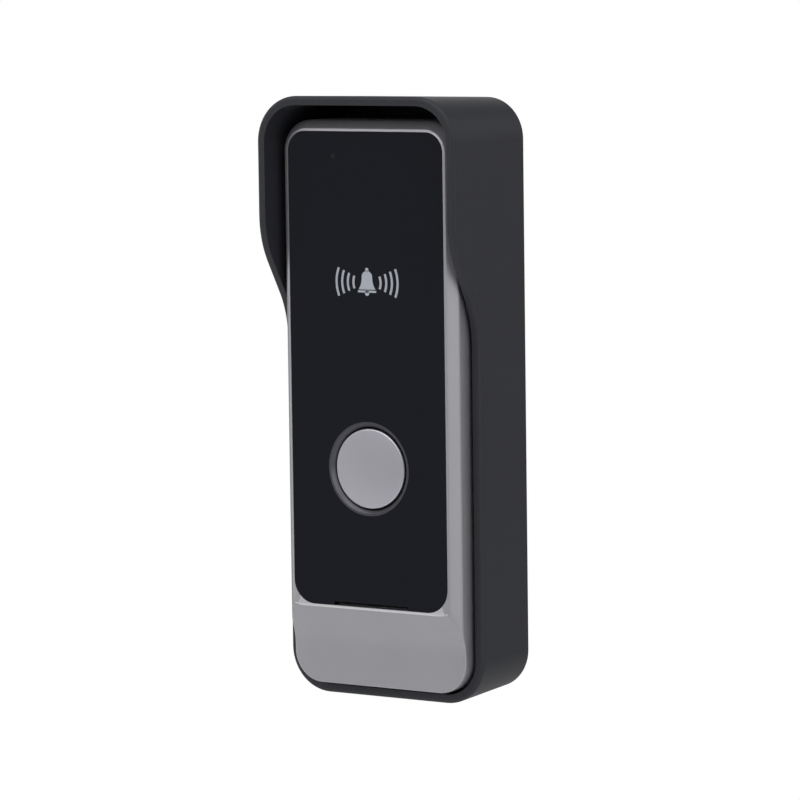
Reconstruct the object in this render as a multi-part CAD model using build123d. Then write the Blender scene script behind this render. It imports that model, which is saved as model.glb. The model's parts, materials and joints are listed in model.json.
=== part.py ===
"""Video doorbell: a wall-mounted door station in a hooded rain cover, in millimetres.

Every piece is drawn as seen from the front: x across, y up, z out from the wall.
The origin is on the wall plane, midway between the two wall screws.
When a piece is written, it is stood up, so that +Z is up and the face looks along -Y.
"""

import os
from math import atan, degrees, radians, tan

from build123d import *

# ---------------------------------------------------------------- sizes

# Rain cover
cover_height = 132.0        # at the plane of the low rim
cover_width = 50.0          # at the plane of the low rim
cover_corner = 9.7          # corner radius at the plane of the low rim
cover_wall = 2.0
cover_back = 2.4            # thickness of the wall that lies on the house
cover_draft = 2.0           # degrees; the cover widens towards the front
rim_depth = 20.3            # low rim, from the wall
hood_depth = 30.3           # front edge of the hood, from the wall
hood_low = 48.0             # where the sweep leaves the low rim, below the top
hood_high = 31.4            # where the sweep reaches the hood's depth, below the top
hood_sweep_radius = 20.0
rim_round = 0.8

# Wall side
screw_inset = 22.0          # each wall screw, from the cover's end
wall_hole_radius = 2.1
screw_head_radius = 4.0
screw_head_height = 2.6
screw_head_room = 0.6       # round each head, in the housing's pocket
screw_head_lift = 0.4       # in front of each head
pocket_wall = 1.2
gasket_inset = 1.4
gasket_width = 2.6
gasket_depth = 1.2
cable_hole_radius = 3.0
cable_above_screw = 16.0    # cable entry, above the lower wall screw
grommet_radius = 6.0
grommet_flange_radius = 7.6
window_corner = 2.0         # of the windows for the wires and the camera
window_room = 0.6           # between the grommet's flange and the wires' window
window_top_room = 1.0       # above the terminal block
wire_room = 2.5             # beside the terminal block, for the wires

# Mounting bracket
bracket_width = 30.0
bracket_overhang = 7.0      # beyond each wall screw
bracket_thickness = 1.2
bracket_corner = 4.0
hook_side = 9.5             # of each hook from the middle
hook_below_screw = 22.0     # foot of the hooks, below the upper wall screw
hook_width = 5.0
hook_height = 4.0
hook_neck = 1.4
hook_clearance = 0.2

# Station body and front bezel
body_side_gap = 0.8         # to the cover, at the low rim
body_top_gap = 3.0          # room to lift the station off its hooks
body_bottom_gap = 0.7
bezel_wall = 1.8
bezel_back = 6.0            # back edge of the bezel, from the wall
bezel_front_wall = 2.7      # behind the panel
face_depth = 26.2           # panel's face, from the wall
panel_border = 2.4          # from the body's side to the panel
panel_thickness = 2.0
panel_corner_top = 4.3
panel_corner_bottom = 5.2
panel_clearance = 0.05
lip_width = 0.45
lip_height = 0.15
bevel_depth = 2.25
lower_face_height = 18.1    # metal below the panel
ramp_height = 7.0
ramp_foot_radius = 14.0
toe_drop = 2.9              # metal at the bottom edge, behind the panel's face

# Panel details
adhesive_thickness = 0.25
adhesive_width = 2.6
adhesive_inset = 0.3
sound_slot_width = 19.0
sound_slot_height = 0.8
mic_hole_radius = 0.7
mic_side = 8.3              # left of the middle
mic_below_panel_top = 5.3

# Call button
button_above_panel_bottom = 30.5
cap_radius = 8.8
cap_sunk = 0.1              # behind the panel's face
cap_thickness = 1.5
cap_skirt = 2.0
cap_skirt_wall = 0.9
cap_edge_round = 0.35
cap_dome = 0.35             # by which the cap's middle stands out
ring_gap = 0.3              # between cap and ring
ring_width = 1.2
ring_proud = 0.1
ring_wall = 0.85
ring_funnel = 1.0           # depth of the slope that leads down to the cap
ring_edge = 0.45            # flat rim outside the slope
ring_floor_depth = 5.6      # top of the floor, behind the panel's face
ring_floor = 1.2
sleeve_wall = 1.2
sleeve_length = 0.8
stem_radius = 2.5
stem_clearance = 0.05
button_travel = 0.8
clip_radius = 3.6
clip_thickness = 0.5
clip_groove = 0.6           # width of the stem's groove
clip_groove_depth = 0.6
clip_snap = 0.3             # by which the clip's mouth is narrower than the groove
clip_gap = 0.05             # between the clip and the sleeve that stops it
stem_tip = 1.05             # of the stem, behind the clip's groove
diaphragm_wall = 0.5
diaphragm_hub = 1.0
diaphragm_gap = 0.15        # round the stem
diaphragm_edge_gap = 0.2    # inside the ring
diaphragm_foot = 2.0
diaphragm_heel = 0.6
diaphragm_lip = 0.4

# Rear housing and seal
housing_clearance = 0.15
housing_wall = 1.4
housing_back = 1.6
seal_thickness = 1.2
case_post_radius = 2.6
case_post_length = 6.8      # of the housing's posts, from its floor
case_screw_radius = 1.25
case_head_radius = 2.2
case_head_height = 1.6
case_cross = 2.4            # length of the cross in each head
cross_width = 0.6
case_head_sunk = 0.2        # of the heads, in front of the housing's back
case_head_wall = 1.0
case_screw_end = 2.0        # between a screw's end and the bezel's front wall
case_bore_end = 1.0         # between a bore's end and the bezel's front wall
loose_fit = 0.1             # between a screw and a hole that it passes through

# Boards
board_thickness = 1.6
board_corner = 1.5
board_side_gap = 0.5
board_end_gap = 0.5
board_post_radius = 2.3
board_post_side = 15.8
board_screw_radius = 1.0
board_head_radius = 1.9
board_head_height = 1.2
board_cross = 2.2
board_post_from_end = 7.5
board_bore_floor = 0.6      # under the posts' bores, above the housing's floor
board_screw_grip = 4.0      # of the screws, in the posts
camera_board_thickness = 1.2
camera_board_gap = 3.0
camera_board_width = 32.0
camera_board_height = 24.0
camera_below_panel_top = 20.6
camera_window_width = 31.0
camera_window_height = 22.0
spacer_radius = 1.5
spacer_inset = 2.3
spacer_pin_radius = 0.8
spacer_head_radius = 1.2
spacer_head = 0.5
connector_width = 14.0
connector_height = 4.0
connector_up = 3.0          # of its middle, above the camera board's lower edge
fit_gap = 0.02              # between a screw and the hole that it fills

# Camera
sensor_size = 6.0
sensor_thickness = 0.9
sensor_room = 0.3           # round the sensor, in the lens holder
holder_size = 11.0
holder_base = 2.2
holder_tube_radius = 5.0
holder_height = 4.2
barrel_radius = 3.5
barrel_length = 5.0
barrel_flange_radius = 4.4
barrel_flange = 1.0
barrel_gap = 0.4            # in front of the sensor
barrel_bore_radius = 1.6
lens_radius = 2.6
lens_crown = 0.6
lens_edge = 1.0             # thickness at the edge
lens_seat = 1.2             # depth of the seat in the barrel
lamp_radius = 1.5
lamp_flange_radius = 1.75
lamp_flange = 0.8
lamp_length = 5.2
lamp_side = 11.5
lamp_rise = 6.0
light_sensor_radius = 1.7
light_sensor_height = 2.2
light_sensor_rise = 8.6

# Sound
mic_radius = 2.3
mic_length = 2.2
mic_shelf = 0.6             # of the boot, in front of the microphone
boot_wall = 0.8
boot_length = 3.4
boot_wire_radius = 1.2
speaker_radius = 11.5
speaker_above_bottom = 19.0
speaker_depth = 5.0
speaker_gasket = 0.6
speaker_rim = 1.6
speaker_wall = 0.8
speaker_ledge = 1.2
magnet_radius = 6.0
magnet_length = 2.4
cone_thickness = 0.3
cone_dip = 1.1
cone_flat = 3.0             # radius of its flat middle
cone_edge = 1.0             # width of its flat edge

# Parts on the main board; below is the distance under the camera board's lower edge
chip_places = [             # width, height, thickness, side, below
    (7.0, 7.0, 1.0, -1.0, 11.0),
    (5.0, 6.0, 1.3, 9.5, 21.0),
    (4.0, 5.0, 1.3, -13.0, 32.0),
    (5.0, 4.0, 1.0, 13.5, 44.0),
]
can_places = [(-12.0, 12.0), (-12.0, 20.0), (13.5, 34.0)]   # side, below
can_radius = 2.5
can_height = 5.4
can_base = 0.6
can_base_size = 5.3
coil_size = 6.0
coil_height = 2.8
coil_corner = 1.2
coil_side = 10.0
coil_below = 12.0
switch_size = 6.0
switch_height = 2.4
plunger_radius = 1.6
plunger_clearance = 0.05
plunger_proud = 1.45        # of the switch
switch_floor = 0.3
switch_gap = 0.05
terminal_ways = 4
terminal_pitch = 3.5
terminal_depth = 7.0
terminal_height = 6.2
terminal_bore = 4.2         # depth of the screws' bores
terminal_screw_radius = 1.25
terminal_above_cable = 17.5
terminal_margin = 0.5       # of the block, beyond its ways
terminal_screw_length = 3.7
terminal_screw_up = 0.6     # of the screws, above the block's middle
wire_hole_width = 2.2
wire_hole_height = 1.8
wire_hole_depth = 2.0
trimmer_size = 6.0
trimmer_height = 2.5
trimmer_side = 9.0
trimmer_above_terminal = 18.5
rotor_radius = 1.8
rotor_height = 2.3
rotor_floor = 0.65          # between the rotor and the board
rotor_slot = 0.6
rotor_slot_end = 0.8
rotor_slot_depth = 0.8
rotor_clearance = 0.05
trimmer_access_radius = 2.6

# Security screw, up through the bottom of the cover
security_radius = 1.5
security_head_radius = 2.8
security_length = 5.2
security_room = 0.3         # round the screw, in the housing
security_socket = 1.0       # radius of its hexagon
security_socket_depth = 1.4
security_depth = 13.0       # from the wall

# ---------------------------------------------------------------- places worked out from the sizes

top = cover_height / 2
bottom = -top
body_top = top - cover_wall - body_top_gap
body_bottom = bottom + cover_wall + body_bottom_gap
body_width = cover_width - 2 * (cover_wall + body_side_gap)
body_corner = cover_corner - cover_wall - body_side_gap
screw_spacing = cover_height - 2 * screw_inset
cable_y = cable_above_screw - screw_spacing / 2
hook_y = screw_spacing / 2 - hook_below_screw
terminal_y = cable_y + terminal_above_cable
trimmer_y = terminal_y + trimmer_above_terminal

body_inner_front = face_depth - panel_thickness - adhesive_thickness - bezel_front_wall

panel_width = body_width - 2 * panel_border
panel_top = body_top - panel_border
panel_bottom = body_bottom + lower_face_height
panel_back = face_depth - panel_thickness
recess_floor = panel_back - adhesive_thickness
bezel_front = face_depth + lip_height
bevel_back = bezel_front - bevel_depth
toe_depth = face_depth - toe_drop
bevel_width = panel_border - panel_clearance - lip_width
bevel_angle = degrees(atan(bevel_width / bevel_depth))

bracket_front = cover_back + bracket_thickness
housing_floor = bracket_front + housing_back
housing_front = body_inner_front - seal_thickness
housing_width = body_width - 2 * (bezel_wall + housing_clearance)
housing_top = body_top - bezel_wall - housing_clearance
housing_bottom = body_bottom + bezel_wall + housing_clearance
housing_corner = body_corner - bezel_wall - housing_clearance
inner_width = housing_width - 2 * housing_wall
inner_top = housing_top - housing_wall
inner_bottom = housing_bottom + housing_wall
inner_corner = housing_corner - housing_wall
case_post_side = inner_width / 2 - inner_corner
case_posts = [
    (side * case_post_side, height)
    for side in (-1, 1)
    for height in (inner_bottom + inner_corner, inner_top - inner_corner)
]
case_post_front = housing_floor + case_post_length
case_seat = bracket_front + case_head_height + case_head_sunk

button_y = panel_bottom + button_above_panel_bottom
groove_radius = stem_radius - clip_groove_depth
ring_inner = cap_radius + ring_gap
ring_outer = ring_inner + ring_width
ring_body = ring_inner + ring_wall
ring_floor_front = face_depth - ring_floor_depth
ring_floor_back = ring_floor_front - ring_floor
sleeve_back = ring_floor_back - sleeve_length
cap_front = face_depth - cap_sunk
cap_under = cap_front - cap_thickness
clip_front = sleeve_back - clip_gap
stem_back = clip_front - clip_groove - stem_tip
plunger_front = stem_back - switch_gap

board_front = plunger_front - plunger_proud - switch_height
board_depth = board_front - board_thickness   # back of the main board, from the wall
board_width = inner_width - 2 * board_side_gap
board_top = inner_top - inner_corner - case_post_radius - board_end_gap
board_bottom = inner_bottom + inner_corner + case_post_radius + board_end_gap
board_posts = [
    (side * board_post_side, height)
    for side in (-1, 1)
    for height in (board_bottom + board_post_from_end, panel_top - camera_below_panel_top)
]

camera_y = panel_top - camera_below_panel_top
camera_low = camera_y - camera_board_height / 2   # lower edge of the camera board
camera_board_back = board_front + camera_board_gap
camera_board_front = camera_board_back + camera_board_thickness
spacer_side = camera_board_width / 2 - spacer_inset
spacer_rise = camera_board_height / 2 - spacer_inset
camera_spacers = [
    (across * spacer_side, camera_y + up * spacer_rise) for across in (-1, 1) for up in (-1, 1)
]
barrel_back = camera_board_front + sensor_thickness + barrel_gap
barrel_front = barrel_back + barrel_length
rotor_front = board_depth - rotor_floor
terminal_back = board_depth - terminal_height
terminal_bore_end = terminal_back + terminal_bore
terminal_places = [
    (way - (terminal_ways - 1) / 2) * terminal_pitch for way in range(terminal_ways)
]
mic_y = panel_top - mic_below_panel_top
mic_front = body_inner_front - mic_shelf
speaker_y = body_bottom + speaker_above_bottom
speaker_front = body_inner_front - speaker_gasket
speaker_back = speaker_front - speaker_depth


# ---------------------------------------------------------------- drawing helpers

def plate(width, low, high, radius, back, front, taper=0.0):
    # A block with a rounded outline, centred across, from depth back to depth front.
    outline = Pos(0, (low + high) / 2, back) * RectangleRounded(width, high - low, radius)
    return extrude(outline, amount=front - back, taper=taper)


def block(width, height, back, front, x=0.0, y=0.0):
    box = Box(width, height, front - back, align=(Align.CENTER, Align.CENTER, Align.MIN))
    return Pos(x, y, back) * box


def rod(radius, back, front, x=0.0, y=0.0):
    cylinder = Cylinder(radius, front - back, align=(Align.CENTER, Align.CENTER, Align.MIN))
    return Pos(x, y, back) * cylinder


def side_profile(points, rounds, width):
    # A prism across the body. Its outline is given as (y, z) points; rounds maps a point's
    # index to the radius of its corner.
    face = make_face(Polyline([(y, z) for y, z in points], close=True))
    for index, radius in rounds.items():
        corner = Vector(points[index][0], points[index][1], 0)
        nearest = face.vertices().sort_by_distance(corner)[0]
        face = fillet(nearest, radius)
    return extrude(Plane.YZ * face, amount=width / 2, both=True)


def group(solids):
    # Separate solids that share one node.
    first, *others = solids
    return first + others


def turned(points, y=0.0):
    # A solid of revolution about the out axis, from (radius, depth) points.
    face = make_face(Polyline([(r, 0, z) for r, z in points], close=True))
    return Pos(0, y, 0) * revolve(face, Axis.Z)


# ---------------------------------------------------------------- rain cover and wall side

def cover_growth(depth):
    return tan(radians(cover_draft)) * (depth - rim_depth)


def cover_block(inset, back, front):
    # The cover's outer shape, drawn in by inset, between two depths.
    shrink = inset - cover_growth(back)
    return plate(
        cover_width - 2 * shrink,
        bottom + shrink,
        top - shrink,
        cover_corner - shrink,
        back,
        front,
        taper=-cover_draft,
    )


def hood_cutter():
    # Everything in front of the low rim, the sweep and the hood's front edge.
    reach = cover_height
    points = [
        (-reach, rim_depth),
        (top - hood_low, rim_depth),
        (top - hood_high, hood_depth),
        (reach, hood_depth),
        (reach, 2 * hood_depth),
        (-reach, 2 * hood_depth),
    ]
    rounds = {1: hood_sweep_radius, 2: hood_sweep_radius}
    return side_profile(points, rounds, 2 * cover_width)


def gasket_ring():
    outside = cover_block(gasket_inset, 0, gasket_depth)
    inside = cover_block(gasket_inset + gasket_width, 0, gasket_depth)
    return outside - inside


def wall_screw_places():
    return [(0, side * screw_spacing / 2) for side in (-1, 1)]


def make_rain_cover():
    shell = cover_block(0, 0, hood_depth + 1)
    shell -= cover_block(cover_wall, cover_back, hood_depth + 2)
    shell -= hood_cutter()
    wall_middle = cover_block(0.3 * cover_wall, 0, hood_depth + 1)
    rim_faces = [f for f in shell.faces() if f.normal_at().Z > 0.3 and f.center().Z > rim_depth - 0.1]
    rim_edges = {e for f in rim_faces for e in f.edges()}
    outer_edges = [e for e in rim_edges if not wall_middle.solid().is_inside(e.position_at(0.5))]
    shell = fillet(outer_edges, rim_round)
    shell -= gasket_ring()
    for x, y in wall_screw_places():
        shell -= rod(wall_hole_radius, -1, cover_back + 1, x, y)
    shell -= rod(grommet_radius + fit_gap, -1, cover_back + 1, 0, cable_y)
    shell -= security_hole()
    return shell


def make_wall_gasket():
    return gasket_ring()


def make_cable_grommet():
    bush = rod(grommet_radius, 0, cover_back)
    bush += rod(grommet_flange_radius, cover_back, bracket_front)
    bush -= rod(cable_hole_radius, -1, bracket_front + 1)
    return Pos(0, cable_y, 0) * bush


def wiring_window(back, front):
    # The opening for the wires, round the cable entry and the terminal block.
    low = cable_y - grommet_flange_radius - window_room
    high = terminal_y + terminal_depth / 2 + window_top_room
    width = terminal_ways * terminal_pitch + 2 * wire_room
    return plate(width, low, high, window_corner, back, front)


def make_mounting_bracket():
    reach = screw_spacing / 2 + bracket_overhang
    plate_part = plate(bracket_width, -reach, reach, bracket_corner, cover_back, bracket_front)
    plate_part -= wiring_window(cover_back - 1, bracket_front + 1)
    for x, y in wall_screw_places():
        plate_part -= rod(wall_hole_radius, cover_back - 1, bracket_front + 1, x, y)
    for side in (-1, 1):
        x = side * hook_side
        tongue_back = housing_floor + hook_clearance
        tongue_front = tongue_back + bracket_thickness
        tongue_y = hook_y - hook_neck / 2 + hook_height / 2
        neck = block(hook_width, hook_neck, bracket_front, tongue_back, x, hook_y)
        tongue = block(hook_width, hook_height, tongue_back, tongue_front, x, tongue_y)
        plate_part += neck + tongue
    return plate_part


# ---------------------------------------------------------------- front bezel, panel and seals

def panel_outline(grow, depth):
    # The panel's outline at a depth; its lower corners are rounder than its upper ones.
    width = panel_width + 2 * grow
    height = panel_top - panel_bottom + 2 * grow
    face = Rectangle(width, height)
    face = fillet(face.vertices().group_by(Axis.Y)[-1], panel_corner_top + grow)
    face = fillet(face.vertices().group_by(Axis.Y)[0], panel_corner_bottom + grow)
    return Pos(0, (panel_top + panel_bottom) / 2, depth) * face


def toe_cutter():
    # Everything in front of the ramp below the panel and of the flat toe under it.
    ramp_top = panel_bottom - panel_clearance - lip_width
    reach = body_bottom - 10
    points = [
        (ramp_top, bezel_front + 5),
        (ramp_top, bezel_front),
        (ramp_top - ramp_height, toe_depth),
        (reach, toe_depth),
        (reach, bezel_front + 5),
    ]
    return side_profile(points, {2: ramp_foot_radius}, 2 * body_width)


def sound_slot(back, front, height):
    middle = panel_bottom + sound_slot_height / 2
    return block(sound_slot_width, height, back, front, 0, middle)


def camera_window(back, front):
    low = camera_y - camera_window_height / 2
    high = low + camera_window_height
    return plate(camera_window_width, low, high, window_corner, back, front)


def make_front_bezel():
    body = plate(body_width, body_bottom, body_top, body_corner, bezel_back, bevel_back)
    body += plate(
        body_width, body_bottom, body_top, body_corner, bevel_back, bezel_front, taper=bevel_angle
    )
    body -= toe_cutter()
    body -= plate(
        body_width - 2 * bezel_wall,
        body_bottom + bezel_wall,
        body_top - bezel_wall,
        body_corner - bezel_wall,
        bezel_back - 1,
        body_inner_front,
    )
    for x, y in case_posts:
        body += rod(case_post_radius, case_post_front, body_inner_front, x, y)
        bore_end = body_inner_front - case_bore_end
        body -= rod(case_screw_radius + fit_gap, case_post_front - 1, bore_end, x, y)
    body -= extrude(panel_outline(panel_clearance, recess_floor), amount=10)
    body -= rod(ring_body + fit_gap, body_inner_front - 1, face_depth, 0, button_y)
    body -= camera_window(body_inner_front - 1, face_depth)
    body -= rod(mic_hole_radius, body_inner_front - 1, face_depth, -mic_side, mic_y)
    body -= sound_slot(body_inner_front - 1, recess_floor + 1, sound_slot_height)
    body -= security_hole()
    return body


def make_front_panel():
    panel = extrude(panel_outline(0, panel_back), amount=panel_thickness)
    panel -= rod(ring_body + panel_clearance, panel_back - 1, face_depth + 1, 0, button_y)
    panel -= rod(mic_hole_radius, panel_back - 1, face_depth + 1, -mic_side, mic_y)
    panel -= sound_slot(panel_back - 1, face_depth + 1, sound_slot_height)
    return panel


def make_panel_adhesive():
    frame = extrude(panel_outline(-adhesive_inset, recess_floor), amount=adhesive_thickness)
    frame -= extrude(panel_outline(-adhesive_width, recess_floor), amount=adhesive_thickness)
    gap_height = 2 * sound_slot_height + 2 * adhesive_width
    frame -= sound_slot(recess_floor - 1, panel_back + 1, gap_height)
    return frame


def make_housing_seal():
    back, front = housing_front, body_inner_front
    ring = plate(housing_width, housing_bottom, housing_top, housing_corner, back, front)
    ring -= plate(inner_width, inner_bottom, inner_top, inner_corner, back, front)
    return ring


# ---------------------------------------------------------------- call button

def make_button_ring():
    flange_front = face_depth + ring_proud
    ring = rod(ring_body, ring_floor_back, flange_front)
    ring += rod(ring_outer, face_depth, flange_front)
    ring -= rod(ring_inner, ring_floor_front, flange_front + 1)
    slope = Cone(ring_inner, ring_outer - ring_edge, ring_funnel)
    ring -= Pos(0, 0, flange_front - ring_funnel / 2) * slope
    ring += rod(stem_radius + sleeve_wall, sleeve_back, ring_floor_back)
    ring -= rod(stem_radius + stem_clearance, sleeve_back - 1, flange_front)
    return Pos(0, button_y, 0) * ring


def make_call_button():
    shoulder = cap_front - cap_dome
    disc = rod(cap_radius, cap_under - cap_skirt, shoulder)
    disc = fillet(disc.edges().filter_by(GeomType.CIRCLE).sort_by(Axis.Z)[-1], cap_edge_round)
    dome_radius = cap_radius - cap_edge_round
    dome_ball = (dome_radius ** 2 + cap_dome ** 2) / (2 * cap_dome)
    dome = Pos(0, 0, cap_front - dome_ball) * Sphere(dome_ball)
    disc += dome & rod(dome_radius, shoulder, cap_front)
    disc -= rod(cap_radius - cap_skirt_wall, cap_under - cap_skirt - 1, cap_under)
    disc += rod(stem_radius, stem_back, cap_under)
    groove_back = clip_front - clip_groove
    groove = rod(stem_radius + 1, groove_back, clip_front)
    disc -= groove - rod(groove_radius, groove_back, clip_front)
    return Pos(0, button_y, 0) * disc


def make_button_clip():
    back = clip_front - clip_thickness
    clip = rod(clip_radius, back, clip_front) - rod(groove_radius + fit_gap, back, clip_front)
    mouth_height = clip_radius + 1
    clip -= block(2 * groove_radius - clip_snap, mouth_height, back, clip_front, 0, -mouth_height / 2)
    return Pos(0, button_y, 0) * clip


def make_button_diaphragm():
    # A silicone cone: a flat foot on the ring's floor and a hub under the cap.
    bore = stem_radius + diaphragm_gap
    foot = ring_inner - diaphragm_edge_gap
    floor = ring_floor_front
    foot_front = floor + 2 * diaphragm_wall
    hub_back = cap_under - diaphragm_hub
    points = [
        (foot, floor),
        (foot, foot_front),
        (foot - diaphragm_foot, foot_front),
        (bore + diaphragm_hub, cap_under),
        (bore, cap_under),
        (bore, hub_back),
        (bore + diaphragm_lip, hub_back),
        (foot - diaphragm_foot - diaphragm_heel, floor),
    ]
    return turned(points, button_y)


def make_button_switch():
    body = block(switch_size, switch_size, board_front, board_front + switch_height)
    bore_back = board_front + switch_floor
    body -= rod(plunger_radius + plunger_clearance, bore_back, board_front + switch_height + 1)
    return Pos(0, button_y, 0) * body


def make_switch_plunger():
    back = board_front + switch_floor + button_travel + 2 * switch_gap
    return rod(plunger_radius, back, plunger_front, 0, button_y)


# ---------------------------------------------------------------- rear housing and its screws

def make_rear_housing():
    back, front = bracket_front, housing_front
    tray = plate(housing_width, housing_bottom, housing_top, housing_corner, back, front)
    tray -= plate(inner_width, inner_bottom, inner_top, inner_corner, housing_floor, front + 1)
    for x, y in case_posts:
        tray += rod(case_post_radius, housing_floor, case_post_front, x, y)
        seat_front = case_seat + case_head_wall
        tray += rod(case_head_radius + case_head_wall, housing_floor, seat_front, x, y)
        tray -= rod(case_head_radius + loose_fit, back - 1, case_seat, x, y)
        tray -= rod(case_screw_radius + loose_fit, case_seat - 1, case_post_front + 1, x, y)
    for x, y in board_posts:
        tray += rod(board_post_radius, housing_floor, board_depth, x, y)
        bore_back = housing_floor + board_bore_floor
        tray -= rod(board_screw_radius + fit_gap, bore_back, board_depth + 1, x, y)
    pocket_front = bracket_front + screw_head_height + screw_head_lift
    pocket_radius = screw_head_radius + screw_head_room
    for x, y in wall_screw_places():
        tray += rod(pocket_radius + pocket_wall, housing_floor, pocket_front + pocket_wall, x, y)
        tray -= rod(pocket_radius, back - 1, pocket_front, x, y)
    tray -= wiring_window(back - 1, housing_floor + 1)
    tray -= rod(trimmer_access_radius, back - 1, housing_floor + 1, trimmer_side, trimmer_y)
    slot_height = hook_height + hook_neck + 2 * hook_clearance
    slot_y = hook_y + hook_neck / 2 + hook_clearance - slot_height / 2
    slot_width = hook_width + 4 * hook_clearance
    for side in (-1, 1):
        tray -= block(slot_width, slot_height, back - 1, housing_floor + 1, side * hook_side, slot_y)
    passage = rod(security_radius + security_room, 0, bezel_wall + 3 * housing_wall)
    tray -= passage.moved(Location((0, body_bottom, security_depth), (-90, 0, 0)))
    return tray


def cross_slot(length, back, front, x, y):
    # A cross recess, to cut out of a screw's head.
    arm = cross_width
    return block(length, arm, back, front, x, y) + block(arm, length, back, front, x, y)


def make_case_screws():
    screws = []
    for x, y in case_posts:
        head_back = case_seat - case_head_height
        screw = rod(case_screw_radius, case_seat, body_inner_front - case_screw_end, x, y)
        screw += rod(case_head_radius, head_back, case_seat, x, y)
        screw -= cross_slot(case_cross, head_back - 1, head_back + case_head_height / 2, x, y)
        screws.append(screw)
    return group(screws)


def security_screw_location():
    # On the outside of the cover's bottom, pointing up.
    return Location((0, bottom - cover_growth(security_depth), security_depth), (-90, 0, 0))


def security_hole():
    # Drawn pointing up the body: a countersink in the cover and a hole on into the bezel.
    sink = security_head_radius - security_radius
    hole = rod(security_radius + fit_gap, -1, security_length + 1)
    cone = Pos(0, 0, sink / 2) * Cone(security_head_radius + fit_gap, security_radius + fit_gap, sink)
    mouth = rod(security_head_radius + fit_gap, -2, 0)
    return (hole + cone + mouth).moved(security_screw_location())


def make_security_screw():
    sink = security_head_radius - security_radius
    screw = rod(security_radius, 0, security_length)
    screw += Pos(0, 0, sink / 2) * Cone(security_head_radius, security_radius, sink)
    socket = extrude(RegularPolygon(security_socket, 6), amount=security_socket_depth)
    return (screw - socket).moved(security_screw_location())


# ---------------------------------------------------------------- boards and what is on them

def board_blank(width, low, high, back, front, places, hole_radius):
    board = plate(width, low, high, board_corner, back, front)
    for x, y in places:
        board -= rod(hole_radius, back - 1, front + 1, x, y)
    return board


def make_main_board():
    hole = board_screw_radius + loose_fit
    return board_blank(
        board_width, board_bottom, board_top, board_depth, board_front, board_posts, hole
    )


def make_board_screws():
    head_front = board_front + board_head_height
    screws = []
    for x, y in board_posts:
        screw = rod(board_screw_radius, board_depth - board_screw_grip, board_front, x, y)
        screw += rod(board_head_radius, board_front, head_front, x, y)
        screw -= cross_slot(board_cross, head_front - board_head_height / 2, head_front + 1, x, y)
        screws.append(screw)
    return group(screws)


def make_camera_board():
    back, front = camera_board_back, camera_board_front
    high = camera_low + camera_board_height
    hole = spacer_pin_radius + fit_gap
    return board_blank(camera_board_width, camera_low, high, back, front, camera_spacers, hole)


def make_board_spacers():
    spacers = []
    for x, y in camera_spacers:
        spacer = rod(spacer_radius, board_front, camera_board_back, x, y)
        spacer += rod(spacer_pin_radius, camera_board_back, camera_board_front, x, y)
        spacer += rod(spacer_head_radius, camera_board_front, camera_board_front + spacer_head, x, y)
        spacers.append(spacer)
    return group(spacers)


def make_board_connector():
    y = camera_low + connector_up
    return block(connector_width, connector_height, board_front, camera_board_back, 0, y)


def make_image_sensor():
    front = camera_board_front + sensor_thickness
    return block(sensor_size, sensor_size, camera_board_front, front, 0, camera_y)


def make_lens_holder():
    back = camera_board_front
    front = back + holder_height
    room = sensor_size + 2 * sensor_room
    holder = block(holder_size, holder_size, back, back + holder_base)
    holder += rod(holder_tube_radius, back, front)
    holder -= block(room, room, back - 1, back + sensor_thickness + loose_fit)
    holder -= rod(barrel_radius + fit_gap, back - 1, front + 1)
    return Pos(0, camera_y, 0) * holder


def make_lens_barrel():
    barrel = rod(barrel_radius, barrel_back, barrel_front)
    barrel += rod(barrel_flange_radius, barrel_front - barrel_flange, barrel_front)
    barrel -= rod(barrel_bore_radius, barrel_back - 1, barrel_front + 1)
    barrel -= rod(lens_radius + fit_gap, barrel_front - lens_seat, barrel_front + 1)
    return Pos(0, camera_y, 0) * barrel


def make_front_lens():
    back = barrel_front - lens_seat
    edge_front = back + lens_edge
    lens = rod(lens_radius, back, edge_front)
    ball_radius = (lens_radius ** 2 + lens_crown ** 2) / (2 * lens_crown)
    ball = Pos(0, 0, edge_front + lens_crown - ball_radius) * Sphere(ball_radius)
    lens += ball & rod(lens_radius, back + lens_edge / 2, edge_front + lens_crown)
    return Pos(0, camera_y, 0) * lens


def make_infrared_lamps():
    lamps = []
    back = camera_board_front
    straight = back + lamp_length - lamp_radius
    for across in (-1, 1):
        for up in (-1, 1):
            lamp = rod(lamp_radius, back, straight)
            lamp += rod(lamp_flange_radius, back, back + lamp_flange)
            lamp += Pos(0, 0, straight) * Sphere(lamp_radius)
            lamps.append(Pos(across * lamp_side, camera_y + up * lamp_rise, 0) * lamp)
    return group(lamps)


def make_light_sensor():
    front = camera_board_front + light_sensor_height
    return rod(light_sensor_radius, camera_board_front, front, 0, camera_y + light_sensor_rise)


def make_microphone():
    return rod(mic_radius, mic_front - mic_length, mic_front, -mic_side, mic_y)


def make_microphone_boot():
    back = body_inner_front - boot_length
    boot = rod(mic_radius + boot_wall, back, body_inner_front)
    boot -= rod(mic_radius, mic_front - mic_length, mic_front)
    boot -= rod(mic_hole_radius, mic_front - mic_length / 2, body_inner_front + 1)
    boot -= rod(boot_wire_radius, back - 1, mic_front - mic_length / 2)
    return Pos(-mic_side, mic_y, 0) * boot


def make_speaker_frame():
    back = speaker_back + magnet_length
    frame = rod(speaker_radius, back, speaker_front)
    frame -= rod(speaker_radius - speaker_wall, back + speaker_wall, speaker_front + 1)
    ledge = rod(speaker_radius, speaker_front - speaker_ledge, speaker_front)
    ledge -= rod(speaker_radius - speaker_rim, speaker_front - 2 * speaker_ledge, speaker_front + 1)
    return Pos(0, speaker_y, 0) * (frame + ledge)


def make_speaker_magnet():
    return rod(magnet_radius, speaker_back, speaker_back + magnet_length, 0, speaker_y)


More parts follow.
